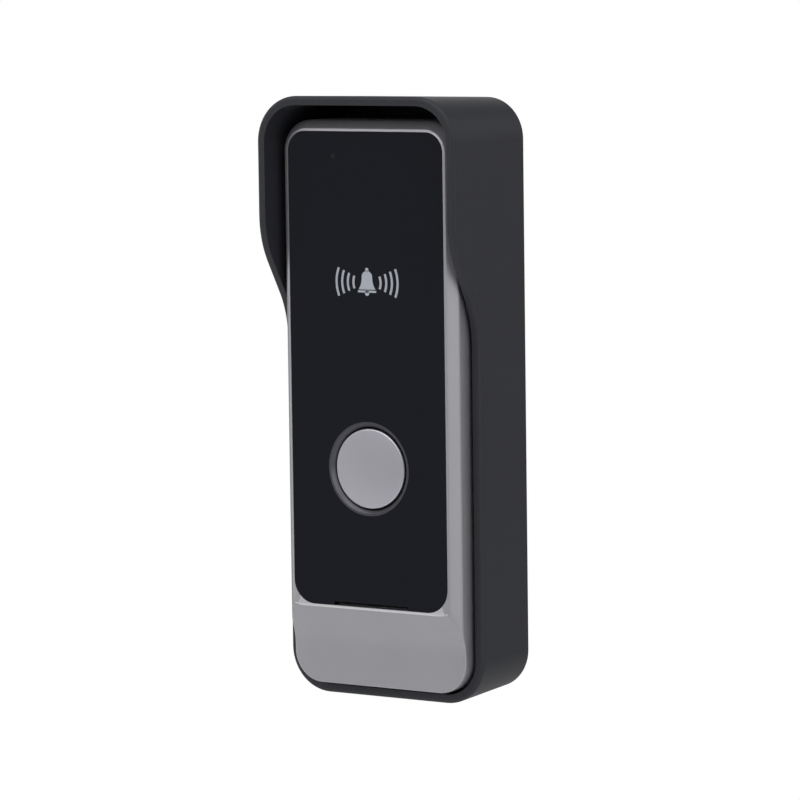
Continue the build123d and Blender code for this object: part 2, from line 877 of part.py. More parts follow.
def make_speaker_cone():
    edge = speaker_radius - speaker_rim
    front = speaker_front - cone_thickness
    low = front - cone_dip
    points = [
        (0, low),
        (0, low + cone_thickness),
        (cone_flat, low + cone_thickness),
        (edge - cone_edge, front),
        (edge, front),
        (edge, front - cone_thickness),
        (edge - cone_edge, front - cone_thickness),
        (cone_flat, low),
    ]
    return turned(points, speaker_y)


def make_speaker_gasket():
    ring = rod(speaker_radius, speaker_front, body_inner_front)
    ring -= rod(speaker_radius - speaker_rim, speaker_front, body_inner_front)
    return Pos(0, speaker_y, 0) * ring


def make_board_chips():
    chips = []
    for width, height, thickness, x, below in chip_places:
        front = board_front + thickness
        chips.append(block(width, height, board_front, front, x, camera_low - below))
    return group(chips)


def make_capacitors():
    base_front = board_front + can_base
    cans = []
    for x, below in can_places:
        y = camera_low - below
        can = rod(can_radius, base_front, board_front + can_height, x, y)
        can += block(can_base_size, can_base_size, board_front, base_front, x, y)
        cans.append(can)
    return group(cans)


def make_power_coil():
    y = camera_low - coil_below
    coil = block(coil_size, coil_size, board_front, board_front + coil_height, coil_side, y)
    return chamfer(coil.edges().filter_by(Axis.Z), coil_corner)


def make_volume_control():
    body = block(trimmer_size, trimmer_size, board_depth - trimmer_height, board_depth)
    bore_front = rotor_front + rotor_clearance
    body -= rod(rotor_radius + rotor_clearance, board_depth - trimmer_height - 1, bore_front)
    return Pos(trimmer_side, trimmer_y, 0) * body


def make_volume_rotor():
    back = rotor_front - rotor_height
    rotor = rod(rotor_radius, back, rotor_front)
    rotor -= block(rotor_slot, 2 * rotor_radius - rotor_slot_end, back - 1, back + rotor_slot_depth)
    return Pos(trimmer_side, trimmer_y, 0) * rotor


def make_terminal_block():
    width = terminal_ways * terminal_pitch + terminal_margin
    body = block(width, terminal_depth, terminal_back, board_depth)
    wire_back = terminal_bore_end - wire_hole_height
    wire_y = wire_hole_depth / 2 - terminal_depth / 2
    screw_room = terminal_screw_radius + loose_fit
    for x in terminal_places:
        body -= rod(screw_room, terminal_back - 1, terminal_bore_end, x, terminal_screw_up)
        body -= block(wire_hole_width, wire_hole_depth, wire_back, terminal_bore_end, x, wire_y)
    return Pos(0, terminal_y, 0) * body


def make_terminal_screws():
    screws = []
    for x in terminal_places:
        back = terminal_bore_end - terminal_screw_length
        y = terminal_y + terminal_screw_up
        screw = rod(terminal_screw_radius, back, terminal_bore_end, x, y)
        screw -= block(4 * terminal_screw_radius, cross_width, back - 1, back + cross_width, x, y)
        screws.append(screw)
    return group(screws)


# ---------------------------------------------------------------- write every piece

pieces = {
    "rain_cover": make_rain_cover,
    "wall_gasket": make_wall_gasket,
    "cable_grommet": make_cable_grommet,
    "mounting_bracket": make_mounting_bracket,
    "security_screw": make_security_screw,
    "front_bezel": make_front_bezel,
    "front_panel": make_front_panel,
    "panel_adhesive": make_panel_adhesive,
    "housing_seal": make_housing_seal,
    "rear_housing": make_rear_housing,
    "case_screws": make_case_screws,
    "call_button": make_call_button,
    "button_ring": make_button_ring,
    "button_clip": make_button_clip,
    "button_diaphragm": make_button_diaphragm,
    "button_switch": make_button_switch,
    "switch_plunger": make_switch_plunger,
    "main_board": make_main_board,
    "board_screws": make_board_screws,
    "board_chips": make_board_chips,
    "capacitors": make_capacitors,
    "power_coil": make_power_coil,
    "terminal_block": make_terminal_block,
    "terminal_screws": make_terminal_screws,
    "volume_control": make_volume_control,
    "volume_rotor": make_volume_rotor,
    "camera_board": make_camera_board,
    "board_spacers": make_board_spacers,
    "board_connector": make_board_connector,
    "image_sensor": make_image_sensor,
    "lens_holder": make_lens_holder,
    "lens_barrel": make_lens_barrel,
    "front_lens": make_front_lens,
    "infrared_lamps": make_infrared_lamps,
    "light_sensor": make_light_sensor,
    "microphone": make_microphone,
    "microphone_boot": make_microphone_boot,
    "speaker_frame": make_speaker_frame,
    "speaker_magnet": make_speaker_magnet,
    "speaker_cone": make_speaker_cone,
    "speaker_gasket": make_speaker_gasket,
}

os.makedirs("parts", exist_ok=True)
stand_up = Rot(90, 0, 0)
for name, make in pieces.items():
    export_step(stand_up * make(), f"parts/{name}.step")
    print(name)
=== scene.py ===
import json
import math

import bmesh
import bpy
from mathutils import Matrix, Vector
from mathutils.geometry import delaunay_2d_cdt

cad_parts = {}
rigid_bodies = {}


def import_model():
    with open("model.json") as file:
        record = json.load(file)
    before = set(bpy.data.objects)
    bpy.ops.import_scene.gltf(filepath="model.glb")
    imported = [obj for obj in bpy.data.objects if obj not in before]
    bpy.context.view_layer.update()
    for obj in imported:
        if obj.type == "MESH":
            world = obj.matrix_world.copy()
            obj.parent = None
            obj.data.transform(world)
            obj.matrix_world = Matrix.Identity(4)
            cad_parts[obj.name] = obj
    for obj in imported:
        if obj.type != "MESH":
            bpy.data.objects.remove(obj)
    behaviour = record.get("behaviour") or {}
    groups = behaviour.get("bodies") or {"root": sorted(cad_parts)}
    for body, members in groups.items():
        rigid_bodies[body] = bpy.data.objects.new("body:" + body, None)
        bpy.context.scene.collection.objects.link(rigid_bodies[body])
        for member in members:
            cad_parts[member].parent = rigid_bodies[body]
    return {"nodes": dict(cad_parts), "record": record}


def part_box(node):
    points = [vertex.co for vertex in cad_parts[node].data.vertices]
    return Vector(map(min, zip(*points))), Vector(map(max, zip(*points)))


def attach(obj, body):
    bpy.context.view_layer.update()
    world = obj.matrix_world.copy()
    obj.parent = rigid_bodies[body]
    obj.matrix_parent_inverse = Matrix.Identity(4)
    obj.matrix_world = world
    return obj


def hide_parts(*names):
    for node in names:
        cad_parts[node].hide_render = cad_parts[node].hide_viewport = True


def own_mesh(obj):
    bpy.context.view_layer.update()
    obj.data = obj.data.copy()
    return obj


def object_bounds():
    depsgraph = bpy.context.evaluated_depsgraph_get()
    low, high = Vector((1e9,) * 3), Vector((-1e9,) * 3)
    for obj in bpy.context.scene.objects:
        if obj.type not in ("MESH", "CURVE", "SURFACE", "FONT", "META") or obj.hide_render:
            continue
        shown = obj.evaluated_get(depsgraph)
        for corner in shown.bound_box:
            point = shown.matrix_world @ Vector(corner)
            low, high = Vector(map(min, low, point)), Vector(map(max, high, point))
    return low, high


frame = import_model()
cadLow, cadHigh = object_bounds()
scene = bpy.context.scene
nodesOfFrame = frame["nodes"]
slotOf = {part["node"]: part["material_slot"] for part in frame["record"]["subparts"]}
millimetre = 0.001
print("frame loaded:", len(nodesOfFrame), "nodes")

# camera: in front, to the right and a little above the middle
cameraSpec = {
    "target": (-0.00056, -0.01235, -0.00093),
    "distance": 0.919,
    "azimuth": 32.47,  # degrees, towards the right
    "elevation": 5.99,
    "roll": -0.77,
    "lens": 188.05,
    "sensor": 36.0,
    "near": 0.01,
    "far": 50.0,
}


def addCamera(spec):
    azimuth, elevation, roll = (math.radians(spec[key]) for key in ("azimuth", "elevation", "roll"))
    level = math.cos(elevation)
    back = Vector((math.sin(azimuth) * level, -math.cos(azimuth) * level, math.sin(elevation)))
    data = bpy.data.cameras.new("studioCamera")
    data.lens, data.sensor_width = spec["lens"], spec["sensor"]
    data.clip_start, data.clip_end = spec["near"], spec["far"]
    camera = bpy.data.objects.new("studioCamera", data)
    camera.rotation_mode = "QUATERNION"
    turn = Matrix.Rotation(roll, 3, "Z").to_quaternion()
    camera.rotation_quaternion = (-back).to_track_quat("-Z", "Y") @ turn
    camera.location = Vector(spec["target"]) + back * spec["distance"]
    scene.collection.objects.link(camera)
    scene.camera = camera


addCamera(cameraSpec)

# studio: a plain room, a pale floor well below and large soft lights
studioSpec = {
    "roomGrey": (0.19, 0.19, 0.20, 1.0),
    "white": (1.0, 1.0, 1.0, 1.0),
    "floorDrop": 0.32,  # below the lowest point of the door station
    "floorSize": 2.6,
    "floorColour": (0.86, 0.86, 0.86, 1.0),
    "floorRoughness": 0.8,
}
# place, width, height, brightness
softLights = {
    "rightLight": ((1.25, -0.35, 0.55), 1.3, 1.4, 1.10),
    "rearLight": ((0.90, 1.20, 0.55), 1.0, 0.9, 0.55),
    "backLight": ((-0.80, 1.25, 0.40), 1.1, 0.6, 1.0),
    "leftLight": ((-1.25, -0.42, 0.28), 1.0, 1.4, 0.80),
    "topLight": ((0.0, -0.25, 1.35), 1.6, 1.2, 1.30),
    "frontLight": ((-0.25, -1.38, 0.78), 1.4, 0.9, 1.75),
    "lowLight": ((-0.70, -1.10, -0.74), 1.1, 0.7, 1.1),
}


def addRoom(spec):
    scene.view_settings.view_transform = "Standard"
    world = bpy.data.worlds.new("plainRoom")
    scene.world = world
    world.use_nodes = True
    nodes, links = world.node_tree.nodes, world.node_tree.links
    nodes.clear()
    room, backdrop = nodes.new("ShaderNodeBackground"), nodes.new("ShaderNodeBackground")
    room.inputs["Color"].default_value = spec["roomGrey"]
    backdrop.inputs["Color"].default_value = spec["white"]
    path, mix = nodes.new("ShaderNodeLightPath"), nodes.new("ShaderNodeMixShader")
    out = nodes.new("ShaderNodeOutputWorld")
    links.new(path.outputs["Is Camera Ray"], mix.inputs["Fac"])
    links.new(room.outputs["Background"], mix.inputs[1])
    links.new(backdrop.outputs["Background"], mix.inputs[2])
    links.new(mix.outputs["Shader"], out.inputs["Surface"])


def addLight(name, place, width, height, brightness):
    data = bpy.data.lights.new(name, "AREA")
    data.shape, data.size, data.size_y = "RECTANGLE", width, height
    data.energy = brightness * math.pi * width * height
    light = bpy.data.objects.new(name, data)
    light.location = place
    light.rotation_mode = "QUATERNION"
    light.rotation_quaternion = (-Vector(place)).to_track_quat("-Z", "Y")
    light.visible_camera = False
    scene.collection.objects.link(light)


def addFloor(spec):
    half, level = spec["floorSize"] / 2, cadLow.z - spec["floorDrop"]
    corners = [(x * half, y * half, level) for x, y in ((-1, -1), (1, -1), (1, 1), (-1, 1))]
    mesh = bpy.data.meshes.new("paleFloor")
    mesh.from_pydata(corners, [], [(0, 1, 2, 3)])
    material = bpy.data.materials.new("floorPaint")
    material.use_nodes = True
    nodes, links = material.node_tree.nodes, material.node_tree.links
    paint = nodes["Principled BSDF"]
    paint.inputs["Base Color"].default_value = spec["floorColour"]
    paint.inputs["Roughness"].default_value = spec["floorRoughness"]
    paint.inputs["Emission Color"].default_value = spec["white"]
    path = nodes.new("ShaderNodeLightPath")
    links.new(path.outputs["Is Camera Ray"], paint.inputs["Emission Strength"])
    mesh.materials.append(material)
    floor = bpy.data.objects.new("paleFloor", mesh)
    scene.collection.objects.link(floor)


addRoom(studioSpec)
for lightName, (place, width, height, brightness) in softLights.items():
    addLight(lightName, place, width, height, brightness)
addFloor(studioSpec)
print("studio ready")

# shared surface effects
effectSpec = {
    "drift": 60.0,  # patches per metre of slow change in tone
    "driftDetail": 2.0,
    "grainDetail": 3.0,
    "grainRoughness": 0.55,
    "lineStretch": 14.0,  # length of a brushed line, in line widths
}


def newEffect(name, inputs, outputs):
    tree = bpy.data.node_groups.new(name, "ShaderNodeTree")
    for label, kind, value in inputs:
        socket = tree.interface.new_socket(label, in_out="INPUT", socket_type=kind)
        socket.default_value = value
    for label in outputs:
        tree.interface.new_socket(label, in_out="OUTPUT", socket_type="NodeSocketFloat")
    return tree, tree.nodes.new("NodeGroupInput"), tree.nodes.new("NodeGroupOutput")


def addDrift(tree, place, result, spec):
    drift = tree.nodes.new("ShaderNodeTexNoise")
    drift.inputs["Scale"].default_value = spec["drift"]
    drift.inputs["Detail"].default_value = spec["driftDetail"]
    tree.links.new(place, drift.inputs["Vector"])
    tree.links.new(drift.outputs["Fac"], result.inputs["Drift"])


def makeGrainEffect(spec):
    # fine moulded or blasted grain, with a slow drift in tone
    tree, given, result = newEffect(
        "mouldedGrain",
        [("Density", "NodeSocketFloat", 2000.0), ("Cells", "NodeSocketFloat", 0.5)],
        ["Grain", "Drift"],
    )
    nodes, links = tree.nodes, tree.links
    place = nodes.new("ShaderNodeTexCoord").outputs["Object"]
    fine, cells = nodes.new("ShaderNodeTexNoise"), nodes.new("ShaderNodeTexVoronoi")
    fine.inputs["Detail"].default_value = spec["grainDetail"]
    fine.inputs["Roughness"].default_value = spec["grainRoughness"]
    mix = nodes.new("ShaderNodeMix")
    for texture in (fine, cells):
        links.new(place, texture.inputs["Vector"])
    links.new(given.outputs["Density"], fine.inputs["Scale"])
    links.new(given.outputs["Density"], cells.inputs["Scale"])
    links.new(given.outputs["Cells"], mix.inputs["Factor"])
    links.new(fine.outputs["Fac"], mix.inputs["A"])
    links.new(cells.outputs["Distance"], mix.inputs["B"])
    links.new(mix.outputs["Result"], result.inputs["Grain"])
    addDrift(tree, place, result, spec)
    return tree


def makeLineEffect(spec):
    # brushed lines along X, with a slow drift in tone
    tree, given, result = newEffect(
        "brushedLines", [("Density", "NodeSocketFloat", 4000.0)], ["Grain", "Drift"]
    )
    nodes, links = tree.nodes, tree.links
    place = nodes.new("ShaderNodeTexCoord").outputs["Object"]
    stretch, lines = nodes.new("ShaderNodeVectorMath"), nodes.new("ShaderNodeTexNoise")
    stretch.operation = "MULTIPLY"
    stretch.inputs[1].default_value = (1 / spec["lineStretch"], 1.0, 1.0)
    links.new(place, stretch.inputs[0])
    links.new(stretch.outputs["Vector"], lines.inputs["Vector"])
    links.new(given.outputs["Density"], lines.inputs["Scale"])
    links.new(lines.outputs["Fac"], result.inputs["Grain"])
    addDrift(tree, place, result, spec)
    return tree


def makeSpunEffect(spec):
    # rings turned round an axis along Y, with a slow drift in tone
    tree, given, result = newEffect(
        "spunRings",
        [("Density", "NodeSocketFloat", 4000.0), ("Centre", "NodeSocketVector", (0.0, 0.0, 0.0))],
        ["Grain", "Drift"],
    )
    nodes, links = tree.nodes, tree.links
    place = nodes.new("ShaderNodeTexCoord").outputs["Object"]
    offset, flat, reach = (nodes.new("ShaderNodeVectorMath") for _ in range(3))
    offset.operation, flat.operation, reach.operation = "SUBTRACT", "MULTIPLY", "LENGTH"
    flat.inputs[1].default_value = (1.0, 0.0, 1.0)
    rings = nodes.new("ShaderNodeTexNoise")
    rings.noise_dimensions = "1D"
    links.new(place, offset.inputs[0])
    links.new(given.outputs["Centre"], offset.inputs[1])
    links.new(offset.outputs["Vector"], flat.inputs[0])
    links.new(flat.outputs["Vector"], reach.inputs[0])
    links.new(reach.outputs["Value"], rings.inputs["W"])
    links.new(given.outputs["Density"], rings.inputs["Scale"])
    links.new(rings.outputs["Fac"], result.inputs["Grain"])
    addDrift(tree, place, result, spec)
    return tree


effects = {
    "grain": makeGrainEffect(effectSpec),
    "lines": makeLineEffect(effectSpec),
    "spun": makeSpunEffect(effectSpec),
}

# finishes, by the record's material slots: effect, density, colour, colour where the tone drifts,
# roughness from and to, bump strength, then the shader's own values
metal, clearCoat = {"Metallic": 1.0}, {"Coat Weight": 0.6, "Coat Roughness": 0.04}
finishes = {
    "cover_black": ("grain", 3600, (0.019, 0.020, 0.026), (0.023, 0.024, 0.030), (0.46, 0.58), 0.25, {}),
    "foam": ("grain", 2600, (0.030, 0.030, 0.032), (0.045, 0.045, 0.047), (0.85, 0.98), 0.60, {}),
    "rubber": ("grain", 1500, (0.025, 0.025, 0.027), (0.036, 0.036, 0.037), (0.60, 0.75), 0.20, {}),
    "zinc_steel": ("grain", 260, (0.58, 0.59, 0.61), (0.68, 0.69, 0.70), (0.28, 0.44), 0.08, metal),
    "black_screw": (
        "grain", 2200, (0.020, 0.020, 0.021), (0.032, 0.032, 0.033), (0.35, 0.50), 0.12, {"Metallic": 0.8},
    ),
    "die_cast": ("grain", 5200, (0.495, 0.488, 0.512), (0.525, 0.518, 0.542), (0.50, 0.58), 0.06, metal),
    "tinted_acrylic": (
        "grain", 900, (0.0064, 0.0076, 0.0120), (0.0076, 0.0080, 0.0126), (0.05, 0.07), 0.0, {},
    ),
    "silicone": (
        "grain", 1200, (0.50, 0.50, 0.51), (0.58, 0.58, 0.59), (0.45, 0.60), 0.10, {"Subsurface Weight": 0.2},
    ),
    "housing_black": ("grain", 2400, (0.026, 0.026, 0.027), (0.036, 0.036, 0.037), (0.50, 0.64), 0.22, {}),
    "zinc_screw": ("grain", 900, (0.62, 0.62, 0.64), (0.72, 0.72, 0.73), (0.24, 0.36), 0.06, metal),
    "button_metal": ("spun", 5000, (0.72, 0.71, 0.76), (0.74, 0.73, 0.78), (0.36, 0.42), 0.05, metal),
    "ring_trim": ("spun", 3000, (0.125, 0.125, 0.14), (0.15, 0.15, 0.165), (0.36, 0.44), 0.05, metal),
    "component_black": ("grain", 2600, (0.016, 0.016, 0.017), (0.024, 0.024, 0.025), (0.55, 0.70), 0.20, {}),
    "plunger_white": ("grain", 1600, (0.70, 0.70, 0.67), (0.76, 0.76, 0.73), (0.40, 0.52), 0.08, {}),
    "circuit_board": (
        "lines", 1400, (0.012, 0.13, 0.055), (0.020, 0.17, 0.075), (0.30, 0.42), 0.12, {"Coat Weight": 0.4},
    ),
    "can_aluminium": ("lines", 3200, (0.72, 0.72, 0.73), (0.78, 0.78, 0.79), (0.26, 0.36), 0.06, metal),
    "ferrite": ("grain", 2200, (0.070, 0.070, 0.078), (0.095, 0.095, 0.105), (0.60, 0.75), 0.25, {}),
    "terminal_green": ("grain", 1800, (0.022, 0.27, 0.10), (0.032, 0.32, 0.13), (0.42, 0.55), 0.12, {}),
    "brass": ("lines", 2600, (0.72, 0.56, 0.27), (0.80, 0.64, 0.33), (0.24, 0.36), 0.06, metal),
    "control_blue": ("grain", 1800, (0.040, 0.12, 0.38), (0.055, 0.15, 0.44), (0.42, 0.54), 0.12, {}),
    "sensor_glass": (
        "grain", 5000, (0.040, 0.050, 0.060), (0.060, 0.060, 0.075), (0.04, 0.08), 0.0, clearCoat,
    ),
    "barrel_black": (
        "lines", 3000, (0.020, 0.020, 0.021), (0.028, 0.028, 0.029), (0.34, 0.46), 0.10, {"Metallic": 0.6},
    ),
    "lens_glass": (
        "grain", 700, (0.80, 0.86, 0.93), (0.84, 0.88, 0.95), (0.01, 0.03), 0.0, {"Transmission Weight": 1.0},
    ),
    "lamp_dark": ("grain", 900, (0.030, 0.012, 0.018), (0.045, 0.018, 0.026), (0.06, 0.12), 0.0, clearCoat),
    "sensor_clear": ("grain", 900, (0.55, 0.45, 0.30), (0.62, 0.52, 0.36), (0.08, 0.14), 0.0, clearCoat),
    "magnet": ("lines", 2800, (0.55, 0.55, 0.57), (0.62, 0.62, 0.64), (0.16, 0.26), 0.04, metal),
    "cone_film": ("grain", 1600, (0.080, 0.080, 0.080), (0.11, 0.11, 0.11), (0.50, 0.64), 0.15, {}),
    # polished lip: a brighter metal than the die-cast, partly its real finish and partly a painted highlight
    "polishedLipHighlight": ("lines", 5000, (0.90, 0.895, 0.91), (0.93, 0.925, 0.94), (0.36, 0.42), 0.04, metal),
    "printSilver": ("grain", 4200, (0.46, 0.49, 0.54), (0.50, 0.53, 0.58), (0.45, 0.58), 0.08, {}),
    "micMembrane": ("grain", 5200, (0.0050, 0.0054, 0.0070), (0.0070, 0.0074, 0.0090), (0.75, 0.9), 0.30, {}),
}
buttonLow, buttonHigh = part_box("call_button")
buttonCentre = (buttonLow + buttonHigh) / 2
bumpDepth = 0.00004  # height of the grain, in metres


def makeFinish(name, effect, density, colour, driftColour, roughness, bump, own):
    material = bpy.data.materials.new(name)
    material.use_nodes = True
    nodes, links = material.node_tree.nodes, material.node_tree.links
    shader = nodes["Principled BSDF"]
    for label, value in own.items():
        shader.inputs[label].default_value = value
    surface = nodes.new("ShaderNodeGroup")
    surface.node_tree = effects[effect]
    surface.inputs["Density"].default_value = density
    if effect == "spun":
        surface.inputs["Centre"].default_value = buttonCentre
    tone = nodes.new("ShaderNodeMix")
    tone.data_type = "RGBA"
    tone.inputs["A"].default_value = (*colour, 1.0)
    tone.inputs["B"].default_value = (*driftColour, 1.0)
    links.new(surface.outputs["Drift"], tone.inputs["Factor"])
    links.new(tone.outputs["Result"], shader.inputs["Base Color"])
    spread = nodes.new("ShaderNodeMapRange")
    spread.inputs["To Min"].default_value, spread.inputs["To Max"].default_value = roughness
    links.new(surface.outputs["Grain"], spread.inputs["Value"])
    links.new(spread.outputs["Result"], shader.inputs["Roughness"])
    if bump:
        relief = nodes.new("ShaderNodeBump")
        relief.inputs["Strength"].default_value = bump
        relief.inputs["Distance"].default_value = bumpDepth
        links.new(surface.outputs["Grain"], relief.inputs["Height"])
        links.new(relief.outputs["Normal"], shader.inputs["Normal"])
    return material


finishOf = {name: makeFinish(name, *spec) for name, spec in finishes.items()}
for nodeName, node in nodesOfFrame.items():
    node.data.materials.clear()
    node.data.materials.append(finishOf[slotOf[nodeName]])
print("finishes ready:", len(finishOf))

# die-cast body, in millimetres: a bevelled surround, a polished lip painted brighter as its
# highlight, and a lower face that runs back to a toe
bezelSpec = {
    "corner": 6.9,
    "wall": 1.8,
    "frontWall": 2.7,
    "lipWidth": 0.45,
    "bevelDepth": 2.25,
    "rampHeight": 7.0,
    "toeDrop": 2.9,  # of the toe, behind the panel's face
    "footBlend": 1.17,
    "creaseBlend": 0.22,
    "lipBlend": 0.10,
    "crownWidth": 2.5,  # the lower face turns down a little towards its edges
    "crownDrop": 0.3,
    "crownBlend": 0.30,
    "sideBlend": 0.35,
    "edgeRadius": 0.35,
    "rings": (0.0, 0.01, 0.04, 0.09, 0.16, 0.25, 0.36, 0.5, 0.8, 1.2, 1.55, 1.72, 1.8, 1.85),
    "innerRings": (2.3, 2.7, 3.1, 3.6, 4.2),
    "step": 1.2,
    "cornerSteps": 14,
    "rowStart": 0.5,  # rows of points on the lower face: first above the ramp, then down
    "rowGap": 0.12,
    "rowCount": 14,
    "wideRowGap": 0.8,
    "wideRowCount": 18,
    "columnGap": 0.9,
    "innerRingStart": 0.6,
    "clearance": 0.3,  # of those points, from the rings and the panel's opening
    "rimReach": 8,
    "highlightWithin": 0.09,  # a face this near the front plane takes the brighter lip finish, a painted highlight
    "panelGap": 0.05,
    "panelCornerTop": 4.3,
    "panelCornerBottom": 5.2,
    "adhesive": 0.25,
    "boreRadius": 9.97,
    "windowWidth": 31.0,
    "windowHeight": 22.0,
    "windowCorner": 2.0,
    "windowStep": 4.0,
    "windowCornerSteps": 6,
    "micRadius": 0.7,
    "slotWidth": 19.0,
    "slotHeight": 0.8,
    "postRadius": 2.6,
    "postBore": 1.27,
    "postLength": 9.25,
    "postBoreEnd": 1.0,
    "screwHead": 2.2,
    "circleSteps": 48,
    "sliver": 0.0001,
    "joinWithin": 1e-6,
    "mergeWithin": 1e-7,  # in metres
    "sharpAngle": 32.0,
}


def softMin(a, b, reach):
    overlap = max(reach - abs(a - b), 0.0) / reach
    return min(a, b) - overlap * overlap * reach / 4


def softMax(a, b, reach):
    return -softMin(-a, -b, reach)


def boxMillimetres(nodeName):
    # left, right, low, high, back depth and front depth of a node, in millimetres
    low, high = (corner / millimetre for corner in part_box(nodeName))
    return low.x, high.x, low.z, high.z, -high.y, -low.y


def roundedLoop(halfWidth, low, high, topRadius, bottomRadius, step, cornerSteps, middle=0.0):
    # anticlockwise from the front, starting on the right
    corners = [
        (halfWidth - topRadius, high - topRadius, topRadius, 0.0),
        (topRadius - halfWidth, high - topRadius, topRadius, 90.0),
        (bottomRadius - halfWidth, low + bottomRadius, bottomRadius, 180.0),
        (halfWidth - bottomRadius, low + bottomRadius, bottomRadius, 270.0),
    ]
    points = []
    for x, z, radius, start in corners:
        arc = []
        for i in range(cornerSteps + 1):
            angle = math.radians(start + 90.0 * i / cornerSteps)
            arc.append(Vector((x + radius * math.cos(angle) + middle, z + radius * math.sin(angle))))
        if points:
            points += straight(points[-1], arc[0], step)
        points += arc
    return points + straight(points[-1], points[0], step)


def straight(start, end, step):
    parts = max(1, round((end - start).length / step))
    return [start.lerp(end, i / parts) for i in range(1, parts)]


def circleLoop(x, z, radius, steps):
    angles = [math.tau * i / steps for i in range(steps)]
    return [Vector((x + radius * math.cos(angle), z + radius * math.sin(angle))) for angle in angles]


def insideLoop(point, loop):
    inside = False
    for i, a in enumerate(loop):
        b = loop[i - 1]
        if (a.y > point.y) != (b.y > point.y) and point.x < (b.x - a.x) * (point.y - a.y) / (b.y - a.y) + a.x:
            inside = not inside
    return inside


